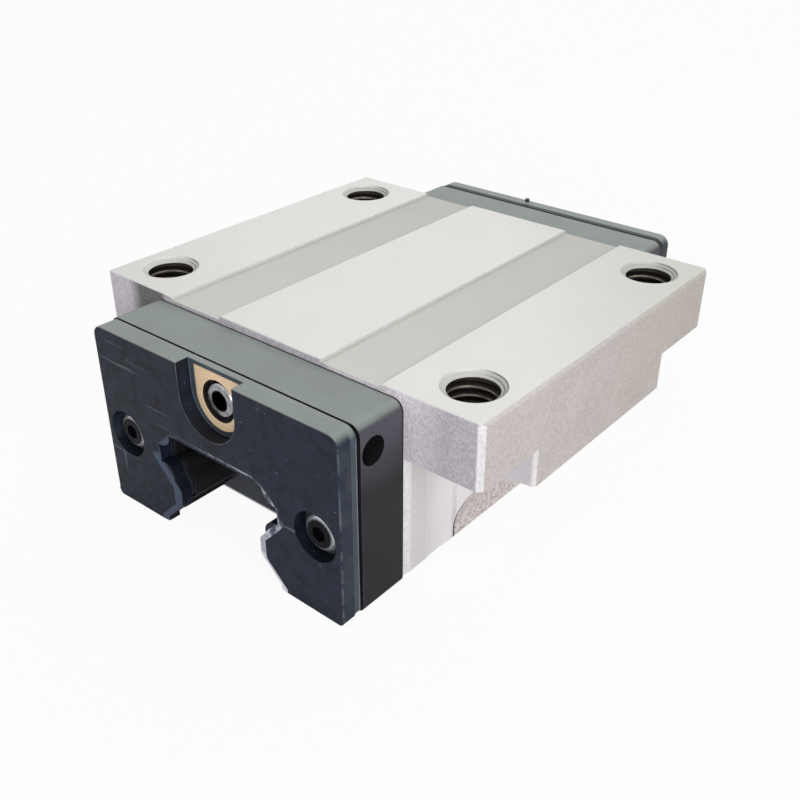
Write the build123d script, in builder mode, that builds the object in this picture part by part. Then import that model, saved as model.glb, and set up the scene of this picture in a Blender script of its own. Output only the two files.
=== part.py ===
"""Flanged ball carriage for a 23 mm profile rail, size 25.

Millimetres. X runs across the carriage, Y along the rail, Z up from the lowest edge of the end seals.
The front end, with the grease port, is at -Y. Left is -X and right is +X.
"""
from build123d import *
from math import ceil, cos, pi, radians, sin, sqrt
import os

os.makedirs("parts", exist_ok=True)

# Steel block: outer form
carriage_width = 70.0
carriage_height = 29.5
block_length = 59.0
leg_half_width = 24.0
leg_lift = 0.9
flange_mid_thickness = 15.2
flange_end_thickness = 9.5
web_radius = 10.8
web_arc_margin = 0.2
flange_corner_chamfer = 0.8
flange_top_chamfer = 0.5
step_chamfer = 0.5
leg_corner_chamfer = 0.8
leg_bottom_bevel = 1.2

# Two shallow relief grooves between the three ground lands of the mounting face
relief_inner = 9.6
relief_outer = 19.7
relief_depth = 0.5

# Mounting holes and the seats that clear a screw head under the flange
bolt_from_side = 6.5
bolt_from_end = 7.0
thread_radius = 4.0
thread_lead_in_radius = 4.3
head_pocket_radius = 5.3

# Rail that the carriage runs on
rail_width = 23.0
rail_top = 15.5
rail_neck_width = 15.8
rail_neck_drop = 1.7
rail_neck_bottom = 4.2
rail_foot_top = 0.7
rail_below = 6.5
rail_groove_end = 190

# Balls: rows sit at the rail's top corners and under its head
ball_diameter = 3.969
ball_gap = 0.081
raceway_relief = 0.085
channel_play = 0.165
ball_inset = 0.4
upper_row_drop = 0.1
row_spacing = 6.8
return_rise = 2.0
balls_per_turn = 3

# Block channel above and beside the rail
ceiling_gap = 1.9
row_wall_gap = 1.65
lower_tip_offset = 0.15
foot_room = 2.1
slant_height = 2.35

# Plastic return sleeves in the block's two long holes on each side
sleeve_wall = 0.6
sleeve_play = 0.05

# End cap, backing plate and end seal
cap_wall = 1.8
cap_half_width = 23.3
cap_drop = 1.05
cap_lift = 0.3
cap_corner = 1.6
seam_width = 0.35
seam_depth = 0.35
plate_thickness = 1.0
seal_half_width = 23.0
seal_thickness = 2.1
seal_corner = 1.7
seal_foot_round = 1.0
lip_gap = 0.12
lip_flare = 1.4
lip_depth = 0.25
lip_head_room = 0.5
lip_corner = 4.3
lip_shoulder_rise = 2.4
lip_neck_drop = 1.5
plate_rail_gap = 1.0
cap_rail_gap = 0.6

# Ball retainers
rail_play = 0.35
lip_play = 0.14
upper_strip_width = 4.3
lower_strip_lip = 0.75

# Moulded cores that form the inside of each half turn
guide_half_thickness = 2.75
guide_play = 0.06
bridge_inner = 1.6
bridge_width = 3.4
bridge_depth = 2.0

# Grease port in the front end: insert with a threaded hole, closed by a plug
port_land = 1.3
port_recess_half = 5.3
port_recess_rise = 0.3
insert_half_width = 4.35
insert_top_gap = 0.65
insert_shoulder = 1.4
insert_boss_radius = 4.0
insert_boss_length = 4.2
insert_play = 0.05
port_thread_radius = 3.0
plug_play = 0.05
plug_face_radius = 2.6
plug_face_step = 0.9
plug_sink = 0.15
plug_length = 4.6
plug_hex_flats = 2.5
plug_hex_depth = 2.0
gallery_radius = 0.9
gallery_width = 1.4
gallery_depth = 0.8

# Side lubrication hole in each flank of each cap
side_port_radius = 2.0
side_port_depth = 5.0
side_port_drop = 5.3
side_port_from_block = 5.6

# Screws that hold seal, plate and cap to the block
screw_x = 18.5
screw_rise = 0.3
screw_radius = 1.5
screw_play = 0.03
screw_clearance = 0.2
screw_bite = 6.5
screw_tap_extra = 1.0
screw_head_radius = 2.75
screw_head_height = 1.4
screw_head_round = 1.1
screw_hex_flats = 2.0
screw_hex_depth = 0.9
screw_window_radius = 3.6

# Worked out from the sizes above
half_length = block_length / 2
half_width = carriage_width / 2
web_bottom = carriage_height - flange_mid_thickness
flange_seat_z = carriage_height - flange_end_thickness
web_arc = min(web_radius, half_width - leg_half_width - web_arc_margin,
              web_bottom - leg_lift - leg_bottom_bevel - web_arc_margin)
bolt_x = half_width - bolt_from_side
bolt_y = half_length - bolt_from_end
step_start = bolt_y - head_pocket_radius
ball_radius = ball_diameter / 2
raceway_radius = ball_radius + raceway_relief
channel_radius = ball_radius + channel_play
hold_radius = ball_radius + lip_play
rail_half = rail_width / 2
row_x = rail_half - ball_inset
row_z = {"upper": rail_top - upper_row_drop, "lower": rail_top - upper_row_drop - row_spacing}
rise = {"upper": return_rise, "lower": -return_rise}
side_sign = {"left": -1, "right": 1}

# Three balls in a half turn stand one turn radius apart, so the radius is a ball and its gap
turn_radius = ball_diameter + ball_gap
ball_pitch = pi * turn_radius / balls_per_turn
return_reach = sqrt((2 * turn_radius) ** 2 - return_rise ** 2)
loaded_count = ceil(block_length / ball_pitch)
turn_start = loaded_count * ball_pitch / 2
cap_front = turn_start + turn_radius + channel_radius + cap_wall
plate_front = cap_front + plate_thickness
seal_front = plate_front + seal_thickness
cap_top = carriage_height - cap_drop
cap_depth = cap_front - half_length
insert_seat_top = cap_top - insert_top_gap + insert_play
lip_top = rail_top + lip_head_room + lip_flare
port_z = lip_top + port_land + port_recess_half - port_recess_rise
screw_z = (row_z["upper"] + rise["upper"] + row_z["lower"] + rise["lower"]) / 2 + screw_rise
channel_ceiling = rail_top + ceiling_gap
row_wall_x = rail_half + row_wall_gap
lower_tip_x = row_x + lower_tip_offset
neck_half = rail_neck_width / 2
slant_top = rail_neck_bottom + rail_play + lip_play
outward = (0, -1, 0)
circuits = [(side, level) for side in ("left", "right") for level in ("upper", "lower")]

print(f"{loaded_count} balls a row, pitch {ball_pitch:.3f}, turns start at {turn_start:.3f}")
print(f"length over the seals {2 * seal_front:.2f}, cap depth {cap_depth:.2f}")


def row_centre(side, level):
    """X and Z of a loaded row."""
    return side_sign[side] * row_x, row_z[level]


def return_centre(side, level):
    """X and Z of a return row."""
    x, z = row_centre(side, level)
    return x + side_sign[side] * return_reach, z + rise[level]


def turn_plane(side, level, end):
    """Plane of a half turn: X points from the loaded row to the return row. End is -1 at the front."""
    x, z = row_centre(side, level)
    far_x, far_z = return_centre(side, level)
    middle = ((x + far_x) / 2, end * turn_start, (z + far_z) / 2)
    across = Vector(far_x - x, 0, far_z - z)
    return Plane(origin=middle, x_dir=across, z_dir=across.cross(Vector(0, end, 0)))


def rail_window(depth, gap):
    """Rail section grown by a gap, on the plane that lies this far in front of the middle."""
    upper, lower = row_z["upper"], row_z["lower"]
    crest = sqrt(raceway_radius ** 2 - upper_row_drop ** 2)
    flank = sqrt(raceway_radius ** 2 - ball_inset ** 2)
    low = radians(rail_groove_end)
    with BuildSketch(Plane.XZ.offset(depth)) as window:
        with BuildLine():
            Line((0, rail_top), (row_x - crest, rail_top))
            ThreePointArc((row_x - crest, rail_top),
                          (row_x - raceway_radius * cos(pi / 4), upper - raceway_radius * sin(pi / 4)),
                          (rail_half, upper - flank))
            Line((rail_half, upper - flank), (rail_half, lower + flank))
            ThreePointArc((rail_half, lower + flank),
                          (row_x - raceway_radius * cos(pi / 4), lower + raceway_radius * sin(pi / 4)),
                          (row_x + raceway_radius * cos(low), lower + raceway_radius * sin(low)))
            Polyline((row_x + raceway_radius * cos(low), lower + raceway_radius * sin(low)),
                     (neck_half, lower - rail_neck_drop), (neck_half, rail_neck_bottom),
                     (rail_half, rail_foot_top), (rail_half, -rail_below), (0, -rail_below))
            mirror(about=Plane.YZ)
        make_face()
        if gap > 0:
            offset(amount=gap)
    return window.sketch


def lip_outline(depth, flare):
    """Straight-cornered opening of the seal's lip, this far out from the rail."""
    side, neck, top = rail_half + flare, neck_half + flare, rail_top + lip_head_room + flare
    with BuildSketch(Plane.XZ.offset(depth)) as outline:
        with BuildLine():
            Polyline((0, top), (side - lip_corner, top), (side, top - lip_corner),
                     (side, row_z["lower"] + lip_shoulder_rise), (neck, row_z["lower"] - lip_neck_drop),
                     (neck, rail_neck_bottom), (side, rail_foot_top), (side, -rail_below), (0, -rail_below))
            mirror(about=Plane.YZ)
        make_face()
    return outline.sketch


def shield_outline(depth, half_width, top, bottom, corner, foot):
    """Front outline of a cap, plate or seal: a block with rounded shoulders and feet."""
    with BuildSketch(Plane.XZ.offset(depth)) as outline:
        with Locations((0, (top + bottom) / 2)):
            Rectangle(2 * half_width, top - bottom)
        fillet(outline.vertices().group_by(Axis.Y)[-1], corner)
        fillet(outline.vertices().group_by(Axis.Y)[0], foot)
    return outline.sketch


def port_outline(depth, half_width, top, centre_z=port_z):
    """Slot with a round lower end and a straight top around the grease port."""
    with BuildSketch(Plane.XZ.offset(depth)) as outline:
        with Locations((0, centre_z)):
            Circle(half_width)
            Rectangle(2 * half_width, carriage_height, align=(Align.CENTER, Align.MIN))
        with Locations((0, top)):
            Rectangle(2 * half_width, carriage_height, align=(Align.CENTER, Align.MAX), mode=Mode.INTERSECT)
    return outline.sketch


def corner_relief():
    """What is missing under the front right corner of the flange: a step and the seat of a screw head."""
    with BuildPart() as relief:
        with BuildSketch(Plane.XY.offset(flange_seat_z)):
            with Locations((bolt_x, -bolt_y)):
                Circle(head_pocket_radius)
            for start, near in ((leg_half_width, bolt_y), (max(bolt_x, leg_half_width), step_start)):
                with Locations((start, -half_length)):
                    Rectangle(half_width - start, half_length - near, align=(Align.MIN, Align.MIN))
        extrude(amount=-flange_seat_z)
    return relief.part


# Steel block, ground on top and on its raceways and left rough elsewhere
with BuildPart() as block:
    with BuildSketch(Plane.XZ) as section:
        with BuildLine():
            Polyline((0, carriage_height), (half_width - flange_top_chamfer, carriage_height),
                     (half_width, carriage_height - flange_top_chamfer), (half_width, web_bottom),
                     (leg_half_width + web_arc, web_bottom))
            RadiusArc((leg_half_width + web_arc, web_bottom), (leg_half_width, web_bottom - web_arc),
                      -web_arc)
            Polyline((leg_half_width, web_bottom - web_arc), (leg_half_width, leg_lift + leg_bottom_bevel),
                     (leg_half_width - leg_bottom_bevel, leg_lift), (0, leg_lift))
            mirror(about=Plane.YZ)
        make_face()
    extrude(amount=half_length, both=True)

    # Underside of the flange, thinned round each screw
    front_corner = corner_relief()
    for corner in (front_corner, front_corner.mirror(Plane.XZ)):
        add(corner, mode=Mode.SUBTRACT)
        mirror(corner, about=Plane.YZ, mode=Mode.SUBTRACT)

    # Channel for the rail, its four raceways and the four return holes
    with BuildSketch(Plane.XZ):
        with BuildLine():
            Polyline((0, channel_ceiling), (row_x, channel_ceiling), (row_x, row_z["upper"]),
                     (row_wall_x, row_z["upper"]), (row_wall_x, row_z["lower"]),
                     (lower_tip_x, row_z["lower"]), (lower_tip_x, slant_top),
                     (rail_half + foot_room, slant_top - slant_height), (rail_half + foot_room, 0), (0, 0))
            mirror(about=Plane.YZ)
        make_face()
        for side, level in circuits:
            with Locations(row_centre(side, level)):
                Circle(raceway_radius)
            with Locations(return_centre(side, level)):
                Circle(channel_radius + sleeve_wall + sleeve_play)
    extrude(amount=half_length, both=True, mode=Mode.SUBTRACT)

    # Relief grooves in the mounting face
    with BuildSketch(Plane.XY.offset(carriage_height)):
        with Locations(((relief_inner + relief_outer) / 2, 0), (-(relief_inner + relief_outer) / 2, 0)):
            Rectangle(relief_outer - relief_inner, block_length)
    extrude(amount=-relief_depth, mode=Mode.SUBTRACT)

    # Threaded mounting holes, drawn at the thread's outer size with a wide lead-in
    with Locations(Plane.XY.offset(carriage_height)):
        with GridLocations(2 * bolt_x, 2 * bolt_y, 2, 2):
            CounterSinkHole(thread_radius, thread_lead_in_radius, depth=flange_end_thickness,
                            counter_sink_angle=90)

    # Threaded holes for the cap screws
    for end in (-1, 1):
        with Locations(Plane(origin=(0, end * half_length, screw_z), x_dir=(1, 0, 0), z_dir=(0, end, 0))):
            with Locations((screw_x, 0), (-screw_x, 0)):
                Hole(screw_radius + screw_play, depth=screw_bite + screw_tap_extra)

    # Upright corners of the flange, of its steps and of the legs
    for x, y, size in ((half_width, half_length, flange_corner_chamfer),
                       (half_width, step_start, step_chamfer),
                       (leg_half_width, half_length, leg_corner_chamfer)):
        chamfer(block.edges().filter_by(Axis.Z).filter_by(
            lambda edge: abs(abs(edge.center().X) - x) < 0.01 and abs(abs(edge.center().Y) - y) < 0.01), size)
block.part.label = "block"
export_step(block.part, "parts/block.step")


def guide_body(side, play):
    """Two drum-shaped cores joined by a bridge at the front end or, with play, the pocket for them."""
    with BuildPart() as body:
        for level in ("upper", "lower"):
            with Locations(turn_plane(side, level, -1)):
                Cylinder(turn_radius + play, 2 * (guide_half_thickness + play))
        split(bisect_by=Plane.XZ.offset(half_length), keep=Keep.TOP)
        with BuildSketch(Plane.XZ.offset(half_length)):
            x = side_sign[side] * (row_x + bridge_inner + bridge_width / 2)
            with Locations((x, (row_z["upper"] + row_z["lower"]) / 2)):
                Rectangle(bridge_width + 2 * play, row_spacing + 2 * play)
        extrude(amount=bridge_depth + play)
    return body.part


# Moulded return guides, one for each side of each end
for side in ("left", "right"):
    with BuildPart() as guide_front:
        add(guide_body(side, 0))
        for level in ("upper", "lower"):
            with Locations(turn_plane(side, level, -1)):
                Torus(turn_radius, channel_radius, mode=Mode.SUBTRACT)
    with BuildPart() as guide_rear:
        mirror(guide_front.part, about=Plane.XZ)
    for end, guide in (("front", guide_front), ("rear", guide_rear)):
        guide.part.label = f"return_guide_{end}_{side}"
        export_step(guide.part, f"parts/{guide.part.label}.step")

# End caps that turn the balls round
with BuildPart() as end_cap:
    extrude(shield_outline(half_length, cap_half_width, cap_top, cap_lift, cap_corner, seal_foot_round),
            amount=cap_depth - seam_width, dir=outward)
    extrude(shield_outline(cap_front - seam_width, seal_half_width - seam_depth, cap_top - seam_depth,
                           cap_lift + seam_depth, cap_corner, seal_foot_round),
            amount=seam_width, dir=outward)
    extrude(rail_window(half_length, cap_rail_gap), amount=cap_depth, dir=outward, mode=Mode.SUBTRACT)
    for side, level in circuits:
        with Locations(turn_plane(side, level, -1)):
            Torus(turn_radius, channel_radius, mode=Mode.SUBTRACT)
    for side in ("left", "right"):
        add(guide_body(side, guide_play), mode=Mode.SUBTRACT)
        with Locations(Plane(origin=(side_sign[side] * cap_half_width, -half_length - side_port_from_block,
                                     carriage_height - side_port_drop), z_dir=(side_sign[side], 0, 0))):
            Hole(side_port_radius, depth=side_port_depth)

    # Holes for the two cap screws
    with Locations(Plane(origin=(0, -cap_front, screw_z), x_dir=(1, 0, 0), z_dir=(0, -1, 0))):
        with Locations((screw_x, 0), (-screw_x, 0)):
            Hole(screw_radius + screw_clearance, depth=cap_depth)

# Steel backing plates behind the seals
with BuildPart() as backing_plate:
    extrude(shield_outline(cap_front, seal_half_width, cap_top, cap_lift, seal_corner, seal_foot_round),
            amount=plate_thickness, dir=outward)
    extrude(rail_window(cap_front, plate_rail_gap), amount=plate_thickness, dir=outward, mode=Mode.SUBTRACT)
    with Locations(Plane(origin=(0, -plate_front, screw_z), x_dir=(1, 0, 0), z_dir=(0, -1, 0))):
        with Locations((screw_x, 0), (-screw_x, 0)):
            Hole(screw_radius + screw_clearance, depth=plate_thickness)

# Rubber end seals, flared in front of the lip that follows the rail
with BuildPart() as end_seal:
    extrude(shield_outline(plate_front, seal_half_width, cap_top, 0, seal_corner, seal_foot_round),
            amount=seal_thickness, dir=outward)
    extrude(rail_window(plate_front, lip_gap), amount=seal_thickness, dir=outward, mode=Mode.SUBTRACT)
    loft([lip_outline(seal_front - lip_depth, lip_gap).face(), lip_outline(seal_front, lip_flare).face()],
         ruled=True, mode=Mode.SUBTRACT)
    with Locations(Plane(origin=(0, -seal_front, screw_z), x_dir=(1, 0, 0), z_dir=(0, -1, 0))):
        with Locations((screw_x, 0), (-screw_x, 0)):
            Hole(screw_window_radius, depth=seal_thickness)

# Front cap with the seat of the port insert and the gallery that feeds the turns
with BuildPart() as end_cap_front:
    add(end_cap.part)
    extrude(port_outline(cap_front, insert_half_width + insert_play, insert_seat_top),
            amount=-insert_shoulder, dir=outward, mode=Mode.SUBTRACT)
    with Locations(Plane(origin=(0, -cap_front, port_z), z_dir=(0, -1, 0))):
        Hole(insert_boss_radius + insert_play, depth=insert_shoulder + insert_boss_length)
        Hole(gallery_radius, depth=cap_depth)
    with BuildSketch(Plane.XZ.offset(half_length)):
        with Locations((0, port_z)):
            Rectangle(2 * (row_x + return_reach / 2), gallery_width)
    extrude(amount=gallery_depth, mode=Mode.SUBTRACT)

# Front plate and front seal, open round the port
with BuildPart() as backing_plate_front:
    add(backing_plate.part)
    extrude(port_outline(cap_front, insert_half_width + insert_play, insert_seat_top),
            amount=plate_thickness, dir=outward, mode=Mode.SUBTRACT)
with BuildPart() as end_seal_front:
    add(end_seal.part)
    extrude(port_outline(plate_front, port_recess_half, cap_top, port_z + port_recess_rise),
            amount=seal_thickness, dir=outward, mode=Mode.SUBTRACT)

# Port insert, flush with the backing plate
with BuildPart() as port_insert:
    extrude(port_outline(cap_front - insert_shoulder, insert_half_width, cap_top - insert_top_gap),
            amount=insert_shoulder + plate_thickness, dir=outward)
    with BuildSketch(Plane.XZ.offset(cap_front - insert_shoulder)):
        with Locations((0, port_z)):
            Circle(insert_boss_radius)
    extrude(amount=-insert_boss_length)
    with Locations(Plane(origin=(0, -plate_front, port_z), z_dir=(0, -1, 0))):
        Hole(port_thread_radius, depth=plate_thickness + insert_shoulder + insert_boss_length)

# Plug that closes the port
with BuildPart() as port_plug:
    with BuildSketch(Plane.XZ.offset(plate_front - plug_sink)):
        with Locations((0, port_z)):
            Circle(plug_face_radius)
    extrude(amount=-plug_length)
    with BuildSketch(Plane.XZ.offset(plate_front - plug_sink - plug_face_step)):
        with Locations((0, port_z)):
            Circle(port_thread_radius - plug_play)
    extrude(amount=plug_face_step - plug_length)
    fillet(port_plug.faces().sort_by(Axis.Y)[0].edges(), plug_face_step / 2)
    with BuildSketch(Plane.XZ.offset(plate_front - plug_sink)):
        with Locations((0, port_z)):
            RegularPolygon(plug_hex_flats / 2, 6, major_radius=False, rotation=30)
    extrude(amount=-plug_hex_depth, mode=Mode.SUBTRACT)

# Button-head screws, two at each end
with BuildPart() as cap_screws:
    with BuildSketch(Plane.XZ.offset(plate_front)):
        with Locations((screw_x, screw_z), (-screw_x, screw_z)):
            Circle(screw_head_radius)
    extrude(amount=screw_head_height)
    fillet(cap_screws.faces().group_by(Axis.Y)[0].edges(), screw_head_round)
    with BuildSketch(Plane.XZ.offset(plate_front)):
        with Locations((screw_x, screw_z), (-screw_x, screw_z)):
            Circle(screw_radius)
    extrude(amount=half_length - screw_bite - plate_front)
    with BuildSketch(Plane.XZ.offset(plate_front + screw_head_height)):
        with Locations((screw_x, screw_z), (-screw_x, screw_z)):
            RegularPolygon(screw_hex_flats / 2, 6, major_radius=False, rotation=30)
    extrude(amount=-screw_hex_depth, mode=Mode.SUBTRACT)

# The rear end has the plain pieces, turned to face the other way
front_pieces = {"end_cap_front": end_cap_front, "backing_plate_front": backing_plate_front,
                "end_seal_front": end_seal_front, "port_insert": port_insert, "port_plug": port_plug,
                "cap_screws_front": cap_screws}
for name, piece in front_pieces.items():
    piece.part.label = name
    export_step(piece.part, f"parts/{name}.step")
rear_pieces = {"end_cap_rear": end_cap, "backing_plate_rear": backing_plate, "end_seal_rear": end_seal,
               "cap_screws_rear": cap_screws}
for name, piece in rear_pieces.items():
    with BuildPart() as rear_piece:
        mirror(piece.part, about=Plane.XZ)
    rear_piece.part.label = name
    export_step(rear_piece.part, f"parts/{name}.step")

# Return sleeves
for side, level in circuits:
    with BuildPart() as sleeve:
        with BuildSketch(Plane.XZ):
            with Locations(return_centre(side, level)):
                Circle(channel_radius + sleeve_wall)
                Circle(channel_radius, mode=Mode.SUBTRACT)
        extrude(amount=half_length, both=True)
    sleeve.part.label = f"return_sleeve_{side}_{level}"
    export_step(sleeve.part, f"parts/{sleeve.part.label}.step")

# Strips that hold the balls when the carriage is off its rail, and the seals under the legs
for side in ("left", "right"):
    sign = side_sign[side]
    upper, lower = row_z["upper"], row_z["lower"]
    tip_x = row_x - sqrt(hold_radius ** 2 - lower_strip_lip ** 2)
    strips = {
        "side_retainer": [(rail_half + rail_play, upper), (row_wall_x, upper), (row_wall_x, lower),
                          (rail_half + rail_play, lower)],
        "upper_retainer": [(row_x - upper_strip_width, channel_ceiling), (row_x, channel_ceiling),
                           (row_x, rail_top + rail_play), (row_x - upper_strip_width, rail_top + rail_play)],
        "lower_retainer": [(neck_half + rail_play, slant_top),
                           (neck_half + rail_play, lower - rail_neck_drop),
                           (tip_x, lower - lower_strip_lip), (row_x, lower - lower_strip_lip),
                           (row_x, lower - ball_radius), (lower_tip_x, lower - ball_radius),
                           (lower_tip_x, slant_top)],
        "bottom_seal": [(neck_half + rail_play, slant_top), (lower_tip_x, slant_top),
                        (rail_half + foot_room, slant_top - slant_height), (rail_half + foot_room, leg_lift),
                        (rail_half + lip_gap, leg_lift)],
    }
    for name, corners in strips.items():
        with BuildPart() as strip:
            with BuildSketch(Plane.XZ):
                with BuildLine():
                    Polyline(*[(sign * x, z) for x, z in corners], close=True)
                make_face()
                if name != "bottom_seal":
                    with Locations((sign * row_x, upper), (sign * row_x, lower)):
                        Circle(hold_radius, mode=Mode.SUBTRACT)
            extrude(amount=half_length, both=True)
        strip.part.label = f"{name}_{side}"
        export_step(strip.part, f"parts/{strip.part.label}.step")

# Balls of each circuit, in four groups: loaded row, return row and the two half turns
row_places = [(n - (loaded_count - 1) / 2) * ball_pitch for n in range(loaded_count)]
turn_angles = [pi * (n + 0.5) / balls_per_turn for n in range(balls_per_turn)]
for side, level in circuits:
    groups = {"loaded": [], "return": [], "front_turn": [], "rear_turn": []}
    for y in row_places:
        x, z = row_centre(side, level)
        groups["loaded"].append((x, y, z))
        x, z = return_centre(side, level)
        groups["return"].append((x, y, z))
    for group, end in (("front_turn", -1), ("rear_turn", 1)):
        plane = turn_plane(side, level, end)
        for angle in turn_angles:
            out = Vector(0, end, 0) * turn_radius * sin(angle)
            groups[group].append(plane.origin + plane.x_dir * turn_radius * cos(angle) + out)
    for group, places in groups.items():
        with BuildPart() as balls:
            with Locations(*places):
                Sphere(ball_radius)
        balls.part.label = f"{side}_{level}_{group}_balls"
        export_step(balls.part, f"parts/{balls.part.label}.step")
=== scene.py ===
from math import cos, pi, radians, sin

import bmesh
import bpy
from mathutils import Euler, Matrix, Vector


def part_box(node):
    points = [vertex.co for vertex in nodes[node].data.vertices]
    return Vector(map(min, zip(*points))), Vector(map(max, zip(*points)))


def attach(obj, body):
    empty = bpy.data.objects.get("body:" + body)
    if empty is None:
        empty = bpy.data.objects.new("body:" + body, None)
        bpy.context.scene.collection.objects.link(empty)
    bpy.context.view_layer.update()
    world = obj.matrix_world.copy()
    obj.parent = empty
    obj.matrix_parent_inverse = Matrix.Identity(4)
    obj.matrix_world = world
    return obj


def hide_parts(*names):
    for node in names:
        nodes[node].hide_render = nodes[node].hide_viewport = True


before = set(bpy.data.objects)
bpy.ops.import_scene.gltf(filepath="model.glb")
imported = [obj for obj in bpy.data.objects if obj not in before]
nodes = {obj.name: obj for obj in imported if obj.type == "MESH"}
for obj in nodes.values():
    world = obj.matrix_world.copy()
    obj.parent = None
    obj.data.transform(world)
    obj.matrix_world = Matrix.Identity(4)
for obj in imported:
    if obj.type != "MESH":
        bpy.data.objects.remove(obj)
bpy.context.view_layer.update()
mm = 0.001
print("frame loaded,", len(nodes), "nodes")


# Camera and light

cameraLook = {
    "place": (0.0880, -0.1085, 0.0887),
    "azimuth": 39.56,      # degrees round from the front towards the right
    "elevation": 30.48,
    "roll": 0.14,
    "lens": 44.6,
    "sensor": 36,
    "clip": 0.005,         # metres
}


def placeCamera(look):
    data = bpy.data.cameras.new("photoCamera")
    data.lens = look["lens"]
    data.sensor_width = look["sensor"]
    data.clip_start = look["clip"]
    camera = bpy.data.objects.new("photoCamera", data)
    bpy.context.scene.collection.objects.link(camera)
    turn = Euler((radians(90 - look["elevation"]), 0, radians(look["azimuth"]))).to_matrix()
    camera.matrix_world = (Matrix.Translation(look["place"]) @ turn.to_4x4()
                           @ Matrix.Rotation(radians(look["roll"]), 4, "Z"))
    bpy.context.scene.camera = camera


softLights = {
    # where from (azimuth from the front to the right, elevation), distance and size in metres, radiance
    "windowBehind": {"from": (205, 40), "distance": 0.75, "size": (0.8, 0.5), "radiance": 0.8},
    "softboxTop": {"from": (60, 72), "distance": 0.7, "size": (0.5, 0.5), "radiance": 0.75},
    "softboxRight": {"from": (80, 24), "distance": 0.8, "size": (0.5, 0.45), "radiance": 2.8},
    "softboxFront": {"from": (38, 16), "distance": 0.8, "size": (0.34, 0.3), "radiance": 6.8},
}
lightAim = (0, 0, 0.015)   # middle of the carriage


def placeLights(lights, aim):
    for name, light in lights.items():
        data = bpy.data.lights.new(name, "AREA")
        data.shape = "RECTANGLE"
        data.size, data.size_y = light["size"]
        data.energy = light["radiance"] * pi * data.size * data.size_y
        lamp = bpy.data.objects.new(name, data)
        bpy.context.scene.collection.objects.link(lamp)
        azimuth, elevation = (radians(angle) for angle in light["from"])
        away = Vector((sin(azimuth) * cos(elevation), -cos(azimuth) * cos(elevation), sin(elevation)))
        lamp.location = Vector(aim) + away * light["distance"]
        lamp.rotation_euler = away.to_track_quat("Z", "Y").to_euler()


# Shader maths: a Wire holds one socket, and sums on wires add Math nodes

class Wire:
    def __init__(self, tree, socket=None):
        self.tree = tree
        self.socket = socket

    def make(self, kind, settings=None, sockets=None):
        made = self.tree.nodes.new("ShaderNode" + kind)
        for key, value in (settings or {}).items():
            setattr(made, key, value)
        for key, value in (sockets or {}).items():
            if isinstance(value, Wire):
                self.tree.links.new(value.socket, made.inputs[key])
            else:
                made.inputs[key].default_value = value
        return [Wire(self.tree, socket) for socket in made.outputs]

    def node(self, kind, settings=None, sockets=None, out=0):
        return self.make(kind, settings, sockets)[out]

    def sum(self, operation, first, second=0.0):
        return self.node("Math", {"operation": operation}, {0: first, 1: second})

    def __add__(self, other): return self.sum("ADD", self, other)
    def __sub__(self, other): return self.sum("SUBTRACT", self, other)
    def __rsub__(self, other): return self.sum("SUBTRACT", other, self)
    def __mul__(self, other): return self.sum("MULTIPLY", self, other)
    def __pow__(self, other): return self.sum("POWER", self, other)
    def __abs__(self): return self.sum("ABSOLUTE", self)
    __radd__ = __add__
    __rmul__ = __mul__

    # 0 below low, 1 above high, straight between; high may be under low
    def step(self, low, high):
        return self.node("MapRange", {"clamp": True}, {"Value": self, "From Min": low, "From Max": high})

    def least(self, other): return self.sum("MINIMUM", self, other)
    def most(self, other): return self.sum("MAXIMUM", self, other)

    def mix(self, first, second):
        sockets = {0: self, 6: (*first, 1) if isinstance(first, tuple) else first,
                   7: (*second, 1) if isinstance(second, tuple) else second}
        return self.node("Mix", {"data_type": "RGBA"}, sockets, out=2)

    # a colour made lighter or darker by a value near 1
    def shade(self, amount):
        grey = self.node("CombineColor", None, {0: amount, 1: amount, 2: amount})
        settings = {"data_type": "RGBA", "blend_type": "MULTIPLY"}
        return self.node("Mix", settings, {0: 1.0, 6: self, 7: grey}, out=2)


def newMaterial(name):
    material = bpy.data.materials.new(name)
    material.use_nodes = True
    tree = material.node_tree
    tree.nodes.clear()
    return material, Wire(tree)


def place(pen):
    return pen.node("TexCoord", out=3)


def axes(pen, vector):
    return pen.make("SeparateXYZ", None, {0: vector})


def placeInMm(pen):
    return [axis * 1000 for axis in axes(pen, place(pen))]


def facing(pen):
    # the surface's direction, as X, Y and Z
    return axes(pen, pen.node("TexCoord", out=1))


def noise(pen, size, detail=2.0, rough=0.5, stretch=(1, 1, 1), offset=(0, 0, 0)):
    spread = pen.node("Mapping", None, {"Vector": place(pen), "Location": offset,
                                        "Scale": tuple(s / (size * mm) for s in stretch)})
    return pen.node("TexNoise", None, {"Vector": spread, "Scale": 1.0, "Detail": detail, "Roughness": rough})


def roundEdges(pen, width):
    return pen.node("Bevel", {"samples": 4}, {"Radius": width * mm})


def bump(pen, height, depth, edge=0.0):
    sockets = {"Height": height, "Distance": depth * mm, "Strength": 1.0}
    if edge:
        sockets["Normal"] = roundEdges(pen, edge)
    return pen.node("Bump", None, sockets)


def edgeMask(pen, width):
    # 1 on sharp edges and 0 on flats, from how far a softened normal leans
    soft = roundEdges(pen, width)
    flat = pen.node("NewGeometry", out=3)
    lean = pen.node("VectorMath", {"operation": "DOT_PRODUCT"}, {0: soft, 1: flat}, out=1)
    return (1 - lean).step(0.04, 0.2)


def finishWith(material, pen, sockets):
    pen.make("OutputMaterial", None, {0: pen.node("BsdfPrincipled", None, sockets)})
    return material


# Steel of the block: ground lands, blasted reliefs and flanks, forged web, machined seats, and threads
# darkened with painted shade

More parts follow.
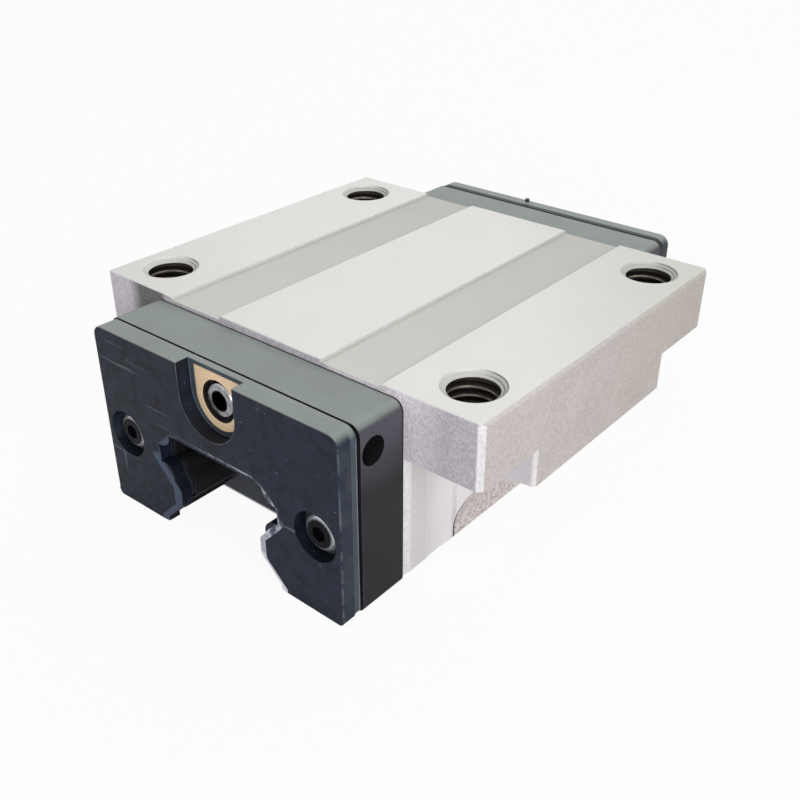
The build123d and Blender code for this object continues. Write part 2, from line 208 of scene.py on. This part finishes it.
steelLook = {
    "land": (0.680, 0.676, 0.652),
    "landShadedFar": (0.560, 0.565, 0.515),      # the land at the rear right, darker by painted shade
    # the far colours here are painted shade, darker towards the rear
    "relief": (0.560, 0.566, 0.520),
    "reliefShadedFar": (0.460, 0.464, 0.426),
    "flank": (0.620, 0.570, 0.555),
    "flankShadedFar": (0.500, 0.455, 0.425),
    "end": (0.620, 0.575, 0.630),
    "endPaintedLight": (0.860, 0.795, 0.870),    # painted light on the right flange end, beside the front cap
    "endPaintedCapShadow": (0.090, 0.096, 0.086),   # painted shadow cast by the front cap, beside it at the left
    "leg": (0.700, 0.680, 0.675),
    "forged": (0.665, 0.605, 0.598),
    "pit": (0.330, 0.265, 0.240),          # brown specks of the forged skin
    "paintedShadeLine": (0.120, 0.095, 0.100),         # painted shade: dark line round a screw seat and in the thread's first turn
    "seat": (0.780, 0.755, 0.765),
    "step": (0.800, 0.760, 0.800),
    "corner": (0.780, 0.760, 0.775),       # painted highlight on narrow faces turned to the front right
    "channel": (0.600, 0.600, 0.590),
    # painted shade inside the bolt holes
    "paintedBoreShade": (0.060, 0.052, 0.042),
    # sizes of the grains in mm: blasted speckle, forged lumps, broad patches, grinding lines, finest grain
    "grain": 0.42, "forgedGrain": 0.75, "patches": 7, "lines": 0.9, "fine": 0.12,
    # places in mm
    "reliefDrop": 0.1,                     # under the top, where the reliefs start
    "flankDepth": 1.5,
    "seatHeight": 20.0,
    "bolt": (28.5, 22.5),
    "seatRadius": 5.3,
    "leadInFoot": 28.7,
    "firstTurn": (3.76, 4.20),             # radii of the painted shade lines where the thread runs out in the cone
    "firstTurnSide": (0.77, 0.64),
    "boreRadius": 4.03,
    "stepPlace": 17.2,
    "forgedEnd": 19.9,
    "legHalf": 24.0,
    "channelTop": 18.0,
    "landFade": (20, 50), "reliefFade": (-28, 28), "flankFade": (-26, 40),     # near colour to far colour: painted shade, darker towards the rear
    # where the painted light and the painted shadow lie on the front flange ends
    "frontFrom": 20, "paintedLightSide": (29.5, 25.5), "paintedCapShadow": (-29.5, -27.0), "paintedCapShadowStrength": 0.85,
    # finish
    "edge": 0.12,
    "metal": 0.35,
    "roughness": 0.40, "blastedRoughness": 0.20,
    "depth": 0.035,
}


def steelMaterial(look):
    material, pen = newMaterial("groundSteel")
    x, y, z = placeInMm(pen)
    nx, ny, nz = facing(pen)
    farX, farY = abs(x), abs(y)
    top, halfWidth = blockHigh.z / mm, blockHigh.x / mm
    speckle = noise(pen, look["grain"], detail=3, rough=0.65)
    lumps = noise(pen, look["forgedGrain"], detail=3, rough=0.6)
    patch = noise(pen, look["patches"], detail=3)
    lines = noise(pen, look["lines"], detail=4, rough=0.7, stretch=(1, 0.02, 1))
    fine = noise(pen, look["fine"], detail=1)

    up = nz.step(0.6, 0.8)
    inRelief = z.step(top - look["reliefDrop"], top - 2 * look["reliefDrop"]) * up
    flankFrom = halfWidth - look["flankDepth"]
    onFlank = abs(nx).step(0.5, 0.8) * farX.step(flankFrom, flankFrom + 0.5)
    onEnd = abs(ny).step(0.6, 0.8)
    boltX, boltY = look["bolt"]
    besideX, besideY = farX - boltX, farY - boltY
    fromBolt = (besideX * besideX + besideY * besideY) ** 0.5
    low = z.step(look["seatHeight"] + 0.15, look["seatHeight"] + 0.05)
    inSeat = fromBolt.step(look["seatRadius"] + 0.14, look["seatRadius"] + 0.07) * low
    onStep = onEnd * low * farY.step(look["stepPlace"] + 0.3, look["stepPlace"] + 0.2) * \
        farX.step(boltX - 0.6, boltX)
    inBore = fromBolt.step(look["boreRadius"] + 0.35, look["boreRadius"] + 0.2) * \
        z.step(look["leadInFoot"] + 0.05, look["leadInFoot"]) * (1 - low)
    below = z.step(look["seatHeight"] + 0.1, look["seatHeight"]) * (1 - onEnd) * \
        farX.step(halfWidth - 0.02, halfWidth - 0.1)
    besideLeg = below * farX.step(look["legHalf"] - 1.0, look["legHalf"] - 0.9)
    forged = besideLeg * (1 - inSeat) * farY.step(look["forgedEnd"], look["forgedEnd"] - 0.15)
    onLeg = besideLeg * (1 - forged)
    # painted shade along the border of the screw seat
    paintedShadeLine = forged * fromBolt.step(look["seatRadius"] + 0.42, look["seatRadius"] + 0.3)
    inChannel = farX.step(look["legHalf"] - 1.4, look["legHalf"] - 1.9) * \
        z.step(look["channelTop"] + 0.2, look["channelTop"]) * (1 - onEnd)
    # painted highlight: faces turned to the front right are lighter
    paintedHighlightCorner = nx.step(0.5, 0.6) * (0 - ny).step(0.5, 0.6) * \
        farX.step(look["legHalf"] - 1.2, look["legHalf"] - 1.0)
    # painted shade: the lands, reliefs and flanks darker towards the rear
    away = (x * 0.5 + y).step(*look["flankFade"])
    paintedShadeRearRight = (x + y * 0.8).step(*look["landFade"])

    colour = paintedShadeRearRight.mix(look["land"], look["landShadedFar"])
    colour = inRelief.mix(colour, y.step(*look["reliefFade"]).mix(look["relief"], look["reliefShadedFar"]))
    colour = onFlank.mix(colour, away.mix(look["flank"], look["flankShadedFar"]))
    colour = onEnd.mix(colour, look["end"])
    frontEnd = onEnd * (0 - y).step(look["frontFrom"], look["frontFrom"] + 1)
    # painted light: the right flange end lighter beside the front cap
    colour = (frontEnd * x.step(*look["paintedLightSide"]) * x.step(10, 12)).mix(colour, look["endPaintedLight"])
    # painted shadow: the front cap's shadow on the left flange end
    paintedCapShadow = frontEnd * x.step(*look["paintedCapShadow"]) * x.step(-21, -22) * look["paintedCapShadowStrength"]
    colour = paintedCapShadow.mix(colour, look["endPaintedCapShadow"])
    colour = onLeg.mix(colour, look["leg"])
    pits = (speckle.step(0.47, 0.36) * 0.75).most(lumps.step(0.42, 0.36) * 0.6)
    colour = forged.mix(colour, paintedShadeLine.mix(pits.mix(look["forged"], look["pit"]), look["paintedShadeLine"]))
    colour = inChannel.mix(colour, look["channel"])
    colour = inSeat.mix(colour, look["seat"])
    colour = onStep.mix(colour, look["step"])
    colour = inBore.mix(colour, look["paintedBoreShade"])
    colour = (paintedHighlightCorner * (1 - inSeat) * (1 - inBore)).mix(colour, look["corner"])
    # painted shade: dark lines stand in for the thread's first turn, which cuts into the cone of the hole's
    # mouth on one side
    outX, outY = besideX * (x.step(-1, 1) * 2 - 1), besideY * (y.step(-1, 1) * 2 - 1)
    sideX, sideY = look["firstTurnSide"]
    firstTurn = (outX * sideX + outY * sideY).step(1.4, 3.0) * nz.step(0.3, 0.5) * \
        z.step(look["leadInFoot"], look["leadInFoot"] + 0.05)
    for radius in look["firstTurn"]:
        line = abs(fromBolt - radius).step(0.11, 0.04)
        colour = (line * firstTurn * 0.8).mix(colour, look["paintedShadeLine"])

    machined = inSeat.most(onStep)
    rough = onFlank.most(onEnd).most(forged) * (1 - machined)
    grit = (speckle - 0.5) * (rough * 0.66 + onEnd * 0.34 + inRelief * 0.08 + 0.04) + \
        (lumps - 0.5) * forged * 0.8
    drift = (patch - 0.5) * (0.06 + rough * 0.14) + (lines - 0.5) * 0.05 * (1 - rough)
    colour = colour.shade(1 + grit + drift)
    height = (speckle - 0.5) * (rough * 0.8 + inRelief * 0.3 + onLeg * 0.3) + (lumps - 0.5) * forged * 2.2 + \
        (lines - 0.5) * 0.10 * (1 - rough) + (fine - 0.5) * 0.05
    roughness = rough * look["blastedRoughness"] + inRelief * 0.08 + look["roughness"] + (fine - 0.5) * 0.06
    return finishWith(material, pen, {"Base Color": colour, "Metallic": look["metal"], "Roughness": roughness,
                                      "Normal": bump(pen, height, look["depth"], look["edge"])})


threadLook = {
    "nominal": 4.0, "crest": 3.38, "pitch": 1.25, "crestFlat": 0.28, "rootGap": 0.12, "sink": 0.04,
    "top": 28.75, "bottom": 20.6, "steps": 56,
    "coneTop": 29.22, "coneSlope": 0.62, "coneWall": 0.12, "coneSteps": 72, "shadeAngle": 25,
    # the thread's colour is near black: painted shade inside the bolt hole
    "colour": (0.016, 0.013, 0.010), "crestColour": (0.88, 0.79, 0.66),
    "grain": 0.5, "wornPatches": 2.2, "metal": 0.6, "roughness": 0.38, "depth": 0.01,
}


def threadMaterial(look):
    material, pen = newMaterial("threadSteel")
    nz = facing(pen)[2]
    speckle = noise(pen, look["grain"], detail=3)
    worn = noise(pen, look["wornPatches"], detail=2).step(0.35, 0.65)
    crest = abs(nz).step(0.45, 0.15) * (worn * 0.6 + 0.4)
    # painted shade on the thread, lighter at the crests
    colour = crest.mix(look["colour"], look["crestColour"]).shade(0.75 + speckle * 0.5)
    return finishWith(material, pen, {"Base Color": colour, "Metallic": look["metal"],
                                      "Roughness": look["roughness"] + (speckle - 0.5) * 0.2,
                                      "Normal": bump(pen, speckle, look["depth"])})


def newPiece(name, bm, material, body="carriage"):
    mesh = bpy.data.meshes.new(name)
    bm.to_mesh(mesh)
    bm.free()
    piece = bpy.data.objects.new(name, mesh)
    bpy.context.scene.collection.objects.link(piece)
    mesh.materials.append(material)
    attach(piece, body)
    return piece


def shadeByAngle(bm, degrees):
    for face in bm.faces:
        face.smooth = True
    for edge in bm.edges:
        edge.smooth = len(edge.link_faces) == 2 and edge.calc_face_angle() < radians(degrees)


def addThread(name, look, axisPoint, material):
    bm = bmesh.new()
    outer, inner = look["nominal"] + look["sink"], look["crest"]
    half, flat = (look["pitch"] - look["rootGap"]) / 2, look["crestFlat"] / 2
    top = look["top"] - half
    corners = [bm.verts.new(Vector((axisPoint[0] + r, axisPoint[1], top + dz)) * mm)
               for r, dz in ((outer, -half), (inner, -flat), (inner, flat), (outer, half))]
    profile = bm.faces.new(corners)
    turns = (look["top"] - look["bottom"] - 2 * half) / look["pitch"]
    steps = int(turns * look["steps"])
    bmesh.ops.spin(bm, geom=[profile, *profile.edges, *profile.verts], cent=Vector((*axisPoint, 0)) * mm,
                   axis=(0, 0, 1), dvec=(0, 0, -look["pitch"] * mm / look["steps"]),
                   angle=-2 * pi * turns, steps=steps, use_merge=False)
    bmesh.ops.recalc_face_normals(bm, faces=bm.faces)
    shadeByAngle(bm, look["shadeAngle"])
    return newPiece(name, bm, material)


def turned(profile, axisPoint, look):
    # a closed ring with the section of this profile, given as radius and height in mm
    bm = bmesh.new()
    corners = [bm.verts.new(Vector((axisPoint[0] + r, axisPoint[1], height)) * mm) for r, height in profile]
    for first, second in zip(corners, corners[1:] + corners[:1]):
        bm.edges.new((first, second))
    bmesh.ops.spin(bm, geom=[*bm.verts, *bm.edges], cent=Vector((*axisPoint, 0)) * mm, axis=(0, 0, 1),
                   dvec=(0, 0, 0), angle=2 * pi, steps=look["coneSteps"], use_merge=True)
    bmesh.ops.remove_doubles(bm, verts=bm.verts, dist=1e-7)
    bmesh.ops.recalc_face_normals(bm, faces=bm.faces)
    shadeByAngle(bm, look["shadeAngle"])
    return bm


def addLeadIn(name, look, axisPoint, material):
    # carries the cone of the hole's mouth on to the crests of the thread
    outer = look["nominal"] + look["sink"]
    foot = look["coneTop"] - (outer - look["crest"]) * look["coneSlope"]
    profile = [(outer, look["coneTop"]), (look["crest"], foot), (look["crest"], foot - look["coneWall"]),
               (outer, foot - look["coneWall"])]
    return newPiece(name, turned(profile, axisPoint, look), material)


# Soft edges: a merged copy of a node takes its place, with its long sharp edges broken

softEdges = {
    # node: width in mm, shortest edge that is broken, sections of the round
    # forgedBelow: under this height the edges beside the legs stay as they are
    # outline: only edges this near to the border are broken
    "block": {"width": 0.14, "shortest": 1.5, "sections": 2, "slot": "block_steel", "forgedBelow": 19.9},
    "end_seal_front": {"width": 0.2, "shortest": 0.15, "sections": 3, "slot": "seal_rubber", "outline": 0.75},
    "end_seal_rear": {"width": 0.2, "shortest": 0.15, "sections": 3, "slot": "seal_rubber", "outline": 0.75},
    "port_insert": {"width": 0.12, "shortest": 0.2, "sections": 2, "slot": "port_brass"},
}

softRule = {
    "merge": 0.002,        # mm between points taken as one
    "flat": 0.5,           # degrees between faces taken as one
    "sharp": 30,           # degrees at an edge that is broken
    "shadeAngle": 40,
    "weight": 90,          # how far big faces lead in the shading
}


def onOutline(edge, low, high, margin):
    # an edge of the face turned away from the block, close to the outer border
    a, b = (v.co for v in edge.verts)
    middle = (a + b) / 2
    outFace = low.y if abs(low.y) > abs(high.y) else high.y
    border = min(high.x - abs(middle.x), high.z - middle.z, middle.z - low.z)
    return abs(a.y - outFace) < 0.01 * mm and abs(b.y - outFace) < 0.01 * mm and border < margin * mm


def onForged(edge, look):
    # an edge under the flange and outside the legs, which stays as forged
    low = look.get("forgedBelow", 0) * mm
    return all(vert.co.z < low and abs(vert.co.x) > (steelLook["legHalf"] + 0.1) * mm for vert in edge.verts)


def sharpenLip(bm):
    # the shallow facets of the flared lip keep their borders
    reachX, reachZ = (reach * mm for reach in plasticLook["lipReach"])
    for edge in bm.edges:
        inReach = all(abs(vert.co.x) < reachX and vert.co.z < reachZ for vert in edge.verts)
        if inReach and len(edge.link_faces) == 2:
            edge.smooth = edge.calc_face_angle() < radians(plasticLook["lipAngle"])


def softened(node, look, material):
    bm = bmesh.new()
    bm.from_mesh(nodes[node].data)
    bmesh.ops.remove_doubles(bm, verts=bm.verts, dist=softRule["merge"] * mm)
    bmesh.ops.dissolve_limit(bm, angle_limit=radians(softRule["flat"]), verts=bm.verts, edges=bm.edges)
    low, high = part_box(node)
    edges = [edge for edge in bm.edges
             if edge.is_manifold and edge.is_convex and edge.calc_face_angle() > radians(softRule["sharp"])
             and edge.calc_length() > look["shortest"] * mm
             and not onForged(edge, look)
             and (not look.get("outline") or onOutline(edge, low, high, look["outline"]))]
    bmesh.ops.bevel(bm, geom=edges, offset=look["width"] * mm, offset_type="OFFSET", affect="EDGES",
                    segments=look["sections"], profile=0.5, material=-1, clamp_overlap=False)
    shadeByAngle(bm, softRule["shadeAngle"])
    if look.get("outline"):
        sharpenLip(bm)
    piece = newPiece(node + "Soft", bm, material)
    weigh = piece.modifiers.new("flatFaces", "WEIGHTED_NORMAL")
    weigh.keep_sharp = True
    weigh.weight = softRule["weight"]
    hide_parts(node)
    print(node, "softened,", len(edges), "edges")


# Black moulded plastic, rubber and the small metal pieces

plasticLook = {
    "cap": (0.010, 0.010, 0.012), "capRoughness": 0.45,
    "seal": (0.004, 0.006, 0.011), "sealRoughness": 0.42,
    # the rear plate's colour is darker than the front plate's: painted shade
    "plate": (0.040, 0.052, 0.062), "rearPlatePaintedShade": (0.006, 0.007, 0.009), "plateRoughness": 0.4,
    "guide": (0.10, 0.10, 0.11), "sleeve": (0.62, 0.62, 0.60), "innerRoughness": 0.45,
    "side": (0.034, 0.046, 0.054), "capFlankPaintedLight": (0.068, 0.065, 0.082),   # painted light: the flanks of the ends lighter than their fronts
    "blot": (0.014, 0.021, 0.040),          # bluish clouds on the seal
    "paintedSheen": (0.024, 0.029, 0.050),         # painted sheen: bluish cast over the right of the seal
    "fleck": (0.190, 0.220, 0.270),
    "mark": (0.30, 0.33, 0.36),
    "rim": (0.230, 0.260, 0.310),           # rubbed edges and painted highlights along edges
    "rimWidth": 0.12,
    # the flared lip: bluish painted sheen, with painted highlights towards the lower right
    "lip": (0.060, 0.080, 0.125), "lipPaintedHighlight": (0.860, 0.860, 0.930),
    "lipReach": (13.6, 18.2),               # half width and height that hold the flared lip
    "lipAngle": 8,
    "recess": (5.3, 24.0),                  # radius and height of the round end of the recess round the port
    "dustAndSheen": (0.315, 0.360, 0.340),          # dust, and painted sheen of the lamps, on what faces up above the next height
    "dustAndSheenFrom": 25.0,
    "black": (0.0015, 0.0015, 0.002),       # the cap's joint with the block and its seam behind the plate
    "scratch": 0.30,
    # sizes in mm: broad patches, clouds, flecks, and rubbed lines across and down
    "patches": 6, "clouds": 2.4, "flecks": 0.5, "across": 1.4, "down": 1.1,
    # places in mm, from where a colour sets in to where it is full
    "joint": (29.76, 29.72), "seam": (37.33, 37.35), "seamHeight": (27.6, 27.9), "rearSeam": (37.18, 37.20),
    "flank": (21, 22), "capSideHeight": (18, 26),
    "recessFront": (35, 36), "recessFoot": (18, 18.3),
    "upright": (22.7, 22.85), "uprightTop": (27.4, 27.0), "sealLine": (40.5, 40.66),
    "plateRear": (37.68, 37.7), "plateFront": (37.92, 37.84),
    "paintedSheenSide": (-14, 12), "highlightHeight": (9, 7.5), "highlightFoot": (5.2, 4.6), "highlightSide": (-4, 2),
    # finish
    "specular": 0.20, "edge": 0.12, "depth": 0.02,
}


def plasticMaterial(name, colour, roughness, grain=0.25, scratches=0.0, dustAndSheen=0.9, joints=False):
    look = plasticLook
    material, pen = newMaterial(name)
    nx, ny, nz = facing(pen)
    x, y, z = placeInMm(pen)
    speckle = noise(pen, grain, detail=3, rough=0.6)
    patch = noise(pen, look["patches"], detail=3)
    tint = patch.step(0.35, 0.75).mix(colour, tuple(c * 1.6 + 0.002 for c in colour))
    outside = z.step(look["dustAndSheenFrom"], look["dustAndSheenFrom"] + 1)
    # dust and painted sheen lighten what faces up
    tint = (nz.step(0.25, 0.95) * outside * (dustAndSheen + (patch - 0.5) * 0.35)).mix(tint, look["dustAndSheen"])
    flank = abs(nx).step(0.75, 0.95) * abs(x).step(*look["flank"])
    if joints:
        # painted light on the cap's upper flanks
        tint = (flank * z.step(*look["capSideHeight"])).mix(tint, look["capFlankPaintedLight"])
        behindPlate = abs(y).step(*look["seam"]) * z.step(*look["seamHeight"])
        dark = abs(y).step(*look["joint"]).most(behindPlate).most(y.step(*look["rearSeam"]))
        tint = dark.mix(tint, look["black"])
    height = speckle - 0.5
    gloss = roughness + (patch - 0.5) * 0.14 + (speckle - 0.5) * 0.06
    # edges lighter: rubbed, and painted highlight
    rim = edgeMask(pen, look["rimWidth"]) * patch.step(0.3, 0.6) * 0.55
    tint = (rim * (1 - nz.step(0.2, 0.5))).mix(tint, look["rim"])
    recessRadius, recessHeight = look["recess"]
    foot = (z - recessHeight).least(0)
    fromRecess = abs((x ** 2 + foot ** 2) ** 0.5 - (recessRadius - 0.02))
    # the recess's border line: painted highlight
    outline = fromRecess.step(0.14, 0.08) * abs(ny).step(0.6, 0.8) * (0 - y).step(*look["recessFront"]) * \
        z.step(*look["recessFoot"])
    tint = (outline * (0.25 + patch.step(0.35, 0.6) * 0.6)).mix(tint, look["rim"])
    # light lines up the upright edges: painted highlight and rubbing
    upright = abs(x).step(*look["upright"]) * (1 - nz.step(0.1, 0.3)) * z.step(*look["uprightTop"])
    onPlate = abs(y).step(*look["plateRear"]) * abs(y).step(*look["plateFront"])
    lines = abs(y).step(*look["sealLine"]).most(onPlate)
    tint = (upright * lines * (0.2 + patch.step(0.3, 0.6) * 0.5)).mix(tint, look["rim"])
    if scratches:
        clouds = noise(pen, look["clouds"], detail=4, rough=0.7, offset=(5, 2, 7))
        flecks = noise(pen, look["flecks"], detail=1, offset=(1, 9, 4)).step(0.76, 0.79)
        onFace = abs(ny).step(0.2, 0.5)
        # painted light on the seal's flanks
        tint = (flank * (0.6 + patch * 0.4)).mix(tint, look["side"])
        # painted sheen over the right of the seal's front
        paintedSheen = onFace * x.step(*look["paintedSheenSide"]) * clouds.step(0.30, 0.70) * (1 - nz.step(0.3, 0.8))
        tint = (paintedSheen * 0.7).mix(tint, look["paintedSheen"])
        tint = (clouds.step(0.42, 0.62) * (1 - nz.step(0.3, 0.8))).mix(tint, look["blot"])
        tint = (flecks * 0.5).mix(tint, look["fleck"])
        reachX, reachZ = look["lipReach"]
        onLip = abs(ny).step(0.995, 0.99) * abs(ny).step(0.7, 0.8) * abs(x).step(reachX, reachX - 0.2) * \
            z.step(reachZ, reachZ - 0.2)
        # painted highlight on the lip's facets, towards the lower right
        worn = (clouds.step(0.42, 0.58) * 0.75).most(z.step(*look["highlightHeight"]) * 0.55)
        worn = worn.most(z.step(*look["highlightFoot"])) * x.step(*look["highlightSide"])
        tint = onLip.mix(tint, worn.mix(look["lip"], look["lipPaintedHighlight"]))
        across = noise(pen, look["across"], detail=3, rough=0.7, stretch=(0.06, 1, 1.4))
        down = noise(pen, look["down"], detail=3, rough=0.7, stretch=(1.3, 1, 0.05), offset=(3, 1, 2))
        marks = across.step(0.64, 0.70).most(down.step(0.66, 0.71)) * onFace
        tint = (marks * scratches).mix(tint, look["mark"])
        height = height + marks * 0.5 + (clouds - 0.5) * 1.2
        gloss = gloss + marks * 0.12
    return finishWith(material, pen, {"Base Color": tint, "Roughness": gloss, "IOR": 1.5,
                                      "Specular IOR Level": look["specular"],
                                      "Normal": bump(pen, height, look["depth"], look["edge"])})


portLook = {
    "middle": (0.0, 23.7),                  # X and Z of the port's axis
    # painted shade: nearer to the axis than this radius, this colour
    "brass": {"colour": (0.88, 0.66, 0.43), "roughness": 0.5, "metal": 0.15, "contrast": 0.4,
              "paintedShadeHollow": (3.04, (0.016, 0.011, 0.009))},
    "plug": {"colour": (0.42, 0.42, 0.45), "roughness": 0.14, "grain": 1.1, "contrast": 1.8,
             "paintedShadeHollow": (1.5, (0.006, 0.006, 0.008))},
}

ballLook = {"colour": (0.72, 0.72, 0.73), "roughness": 0.12, "contrast": 0.06, "depth": 0.001}


def metalMaterial(name, colour, roughness, grain=0.3, contrast=0.25, metal=1.0, depth=0.01, paintedShadeHollow=None):
    material, pen = newMaterial(name)
    speckle = noise(pen, grain, detail=3)
    if paintedShadeHollow:
        x, y, z = placeInMm(pen)
        fromAxis = ((x - portLook["middle"][0]) ** 2 + (z - portLook["middle"][1]) ** 2) ** 0.5
        # painted shade inside the hollow round the axis
        radius, inside = paintedShadeHollow
        tint = fromAxis.step(radius + 0.03, radius).mix(colour, inside).shade(1 + (speckle - 0.5) * contrast)
    else:
        dark, light = (tuple(c * (1 + lift) for c in colour) for lift in (-contrast / 2, contrast / 2))
        tint = speckle.mix(dark, light)
    return finishWith(material, pen, {"Base Color": tint, "Metallic": metal,
                                      "Roughness": roughness + (speckle - 0.5) * 0.15,
                                      "Normal": bump(pen, speckle, depth, 0.08)})


screwLook = {
    "head": (0.003, 0.004, 0.006), "rim": (0.80, 0.82, 0.88), "rimMetal": 0.95,
    "roughness": 0.24, "specular": 0.1, "grain": 0.3, "depth": 0.01, "edge": 0.08,
    "middle": (18.5, 12.3), "socketReach": 1.45,
}


def screwMaterial(look):
    # black oxide, worn bright where the head rounds over
    material, pen = newMaterial("blackScrew")
    ny = facing(pen)[1]
    x, y, z = placeInMm(pen)
    speckle = noise(pen, look["grain"], detail=3)
    fromMiddle = ((abs(x) - look["middle"][0]) ** 2 + (z - look["middle"][1]) ** 2) ** 0.5
    rim = abs(ny).step(0.97, 0.8) * fromMiddle.step(look["socketReach"], look["socketReach"] + 0.1) * \
        (0.5 + speckle * 0.5)
    return finishWith(material, pen, {
        "Base Color": rim.mix(look["head"], look["rim"]), "Metallic": rim * look["rimMetal"],
        "Specular IOR Level": look["specular"], "Roughness": look["roughness"] + (speckle - 0.5) * 0.15,
        "Normal": bump(pen, speckle, look["depth"], look["edge"])})


def dress(prefix, material):
    for name, piece in nodes.items():
        if name.startswith(prefix):
            piece.data.materials.clear()
            piece.data.materials.append(material)


def dressAll():
    look = plasticLook
    dress("", metalMaterial("ballSteel", **ballLook))       # every node, and the ones below change theirs
    steel = steelMaterial(steelLook)
    dress("block", steel)
    cap = plasticMaterial("capPlastic", look["cap"], look["capRoughness"], joints=True)
    strip = plasticMaterial("stripPlastic", look["cap"], look["capRoughness"])
    seal = plasticMaterial("sealRubber", look["seal"], look["sealRoughness"], grain=0.2,
                           scratches=look["scratch"])
    dress("end_cap", cap)
    dress("backing_plate_front", plasticMaterial("plateLacquer", look["plate"], look["plateRoughness"]))
    # painted shade: the rear plate darker and without dust or sheen
    dress("backing_plate_rear", plasticMaterial("rearPlatePaintedShadeLacquer", look["rearPlatePaintedShade"], look["plateRoughness"],
                                                dustAndSheen=-0.12))
    dress("end_seal", seal)
    dress("bottom_seal", seal)
    dress("return_guide", plasticMaterial("guidePlastic", look["guide"], look["innerRoughness"]))
    dress("return_sleeve", plasticMaterial("sleevePlastic", look["sleeve"], look["innerRoughness"]))
    for part in ("side_retainer", "upper_retainer", "lower_retainer"):
        dress(part, strip)
    brass = metalMaterial("portBrass", **portLook["brass"])
    dress("port_insert", brass)
    dress("port_plug", metalMaterial("plugSteel", **portLook["plug"]))
    dress("cap_screws", screwMaterial(screwLook))
    for node, material in (("block", steel), ("end_seal_front", seal), ("end_seal_rear", seal),
                           ("port_insert", brass)):
        softened(node, softEdges[node], material)
    return steel


nubLook = {"place": (-4.9, 40.2, 28.65), "foot": 0.42, "top": 0.36, "height": 0.7, "round": 0.12,
           "shadeAngle": 35}


def addNub(name, look, material):
    # moulding mark left standing on the rear seal's top edge
    bm = bmesh.new()
    bmesh.ops.create_cone(bm, cap_ends=True, segments=24, radius1=look["foot"] * mm, radius2=look["top"] * mm,
                          depth=look["height"] * mm)
    rim = [edge for edge in bm.edges if all(vert.co.z > 0 for vert in edge.verts)]
    bmesh.ops.bevel(bm, geom=rim, offset=look["round"] * mm, offset_type="OFFSET", affect="EDGES", segments=3,
                    profile=0.5, material=-1)
    bmesh.ops.translate(bm, verts=bm.verts, vec=Vector(look["place"]) * mm)
    shadeByAngle(bm, look["shadeAngle"])
    return newPiece(name, bm, material)


stageLook = {"floor": (0.86, 0.86, 0.86), "size": 6.0, "glow": 0.94, "ambient": 0.36,
             "paintedShadeHollow": (14.0, 29.5), "paintedShadowGlow": 0.0,      # painted shadow on the floor under the channel: half width and half length
             "paintedShadowFloor": (0.30, 0.32, 0.38)}


def buildStage(look):
    bm = bmesh.new()
    bmesh.ops.create_grid(bm, x_segments=1, y_segments=1, size=look["size"] / 2)
    mesh = bpy.data.meshes.new("floor")
    bm.to_mesh(mesh)
    bm.free()
    floor = bpy.data.objects.new("floor", mesh)
    bpy.context.scene.collection.objects.link(floor)
    material, pen = newMaterial("paleFloor")
    seen = pen.node("LightPath", out=0)
    x, y = (abs(axis) for axis in placeInMm(pen)[:2])
    sideX, endY = look["paintedShadeHollow"]
    # painted shadow: the floor under the channel darker and without glow
    paintedShadowPatch = x.step(sideX + 0.2, sideX - 0.2) * y.step(endY + 0.2, endY - 0.2)
    shown = seen * (look["glow"] + paintedShadowPatch * (look["paintedShadowGlow"] - look["glow"]))
    base = pen.node("BsdfDiffuse", None, {"Color": (seen * paintedShadowPatch).mix(look["floor"], look["paintedShadowFloor"])})
    glow = pen.node("Emission", None, {"Color": (1, 1, 1, 1), "Strength": 1.0})
    mixed = pen.node("MixShader", None, {0: shown, 1: base, 2: glow})
    pen.make("OutputMaterial", None, {0: mixed})
    mesh.materials.append(material)

    world = bpy.data.worlds.new("studio")
    world.use_nodes = True
    bpy.context.scene.world = world
    world.node_tree.nodes.clear()
    pen = Wire(world.node_tree)
    path = pen.tree.nodes.new("ShaderNodeLightPath")
    direct = Wire(pen.tree, path.outputs["Is Camera Ray"])
    for name in ("Is Glossy Ray", "Is Transmission Ray"):
        direct = direct.most(Wire(pen.tree, path.outputs[name]))
    strength = direct * (1 - look["ambient"]) + look["ambient"]
    sky = pen.node("Background", None, {"Color": (1, 1, 1, 1), "Strength": strength})
    pen.make("OutputWorld", None, {0: sky})


placeCamera(cameraLook)
placeLights(softLights, lightAim)
buildStage(stageLook)
print("camera, light and floor placed")
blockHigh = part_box("block")[1]
steel = dressAll()
threadSteel = threadMaterial(threadLook)
boltX, boltY = steelLook["bolt"]
corners = {"frontLeft": (-boltX, -boltY), "frontRight": (boltX, -boltY),
           "rearLeft": (-boltX, boltY), "paintedShadeRearRight": (boltX, boltY)}
for corner, axisPoint in corners.items():
    addThread("boltThread_" + corner, threadLook, axisPoint, threadSteel)
    addLeadIn("leadIn_" + corner, threadLook, axisPoint, steel)
addNub("rearSealNub", nubLook, bpy.data.materials["sealRubber"])
print("pieces dressed")

bpy.context.scene.view_settings.view_transform = "Standard"
